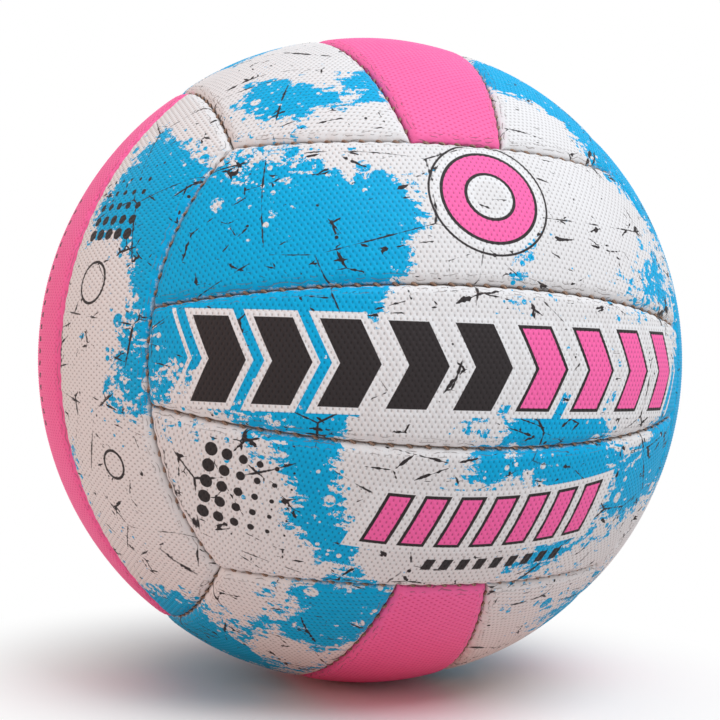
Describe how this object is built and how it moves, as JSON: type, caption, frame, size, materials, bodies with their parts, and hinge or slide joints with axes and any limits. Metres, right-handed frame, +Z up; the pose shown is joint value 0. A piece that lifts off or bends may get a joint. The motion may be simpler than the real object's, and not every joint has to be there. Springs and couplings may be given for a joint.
{
  "type": "netball",
  "caption": "Hand-stitched match netball with a pimpled rubber cover in white, blue and pink, sewn from strip panels over cloth linings and a bladder with a needle valve.",
  "frame": {"origin": "centre of the ball", "axes": "+Z up, parallel to the upright side panels; +Y out through the valve in the back face; the front face with its level strips looks along -Y"},
  "size_m": [0.2228, 0.2227, 0.2228],
  "materials": {
    "printed_cover": "matt pimpled rubber, printed in blue and black on white",
    "pink_cover": "matt pimpled rubber, pink",
    "lining_cloth": "woven cotton and polyester, latex bonded",
    "seam_thread": "waxed polyester thread, grey-brown",
    "bladder_rubber": "butyl rubber, dusted with talc",
    "valve_rubber": "moulded rubber, satin",
    "valve_silicone": "soft self-sealing silicone rubber",
    "patch_cloth": "rubberised canvas"
  },
  "bodies": {
    "root": {"front_lower_panel": "printed_cover", "front_middle_panel": "printed_cover", "front_upper_panel": "printed_cover", "back_lower_panel": "printed_cover", "back_middle_panel": "printed_cover", "back_upper_panel": "printed_cover", "left_front_panel": "printed_cover", "left_middle_panel": "pink_cover", "left_back_panel": "printed_cover", "right_front_panel": "printed_cover", "right_middle_panel": "pink_cover", "right_back_panel": "printed_cover", "bottom_left_panel": "printed_cover", "bottom_middle_panel": "pink_cover", "bottom_right_panel": "printed_cover", "top_left_panel": "printed_cover", "top_middle_panel": "pink_cover", "top_right_panel": "printed_cover", "front_lower_lining": "lining_cloth", "front_middle_lining": "lining_cloth", "front_upper_lining": "lining_cloth", "back_lower_lining": "lining_cloth", "back_middle_lining": "lining_cloth", "back_upper_lining": "lining_cloth", "left_front_lining": "lining_cloth", "left_middle_lining": "lining_cloth", "left_back_lining": "lining_cloth", "right_front_lining": "lining_cloth", "right_middle_lining": "lining_cloth", "right_back_lining": "lining_cloth", "bottom_left_lining": "lining_cloth", "bottom_middle_lining": "lining_cloth", "bottom_right_lining": "lining_cloth", "top_left_lining": "lining_cloth", "top_middle_lining": "lining_cloth", "top_right_lining": "lining_cloth", "front_bottom_seam_thread": "seam_thread", "front_top_seam_thread": "seam_thread", "back_bottom_seam_thread": "seam_thread", "back_top_seam_thread": "seam_thread", "left_front_seam_thread": "seam_thread", "left_back_seam_thread": "seam_thread", "right_front_seam_thread": "seam_thread", "right_back_seam_thread": "seam_thread", "bottom_left_seam_thread": "seam_thread", "bottom_right_seam_thread": "seam_thread", "top_left_seam_thread": "seam_thread", "top_right_seam_thread": "seam_thread", "front_strip_seam_threads": "seam_thread", "back_strip_seam_threads": "seam_thread", "left_strip_seam_threads": "seam_thread", "right_strip_seam_threads": "seam_thread", "bottom_strip_seam_threads": "seam_thread", "top_strip_seam_threads": "seam_thread", "bladder": "bladder_rubber", "valve_body": "valve_rubber", "valve_core": "valve_silicone", "valve_patch": "patch_cloth"}
  },
  "joints": []
}
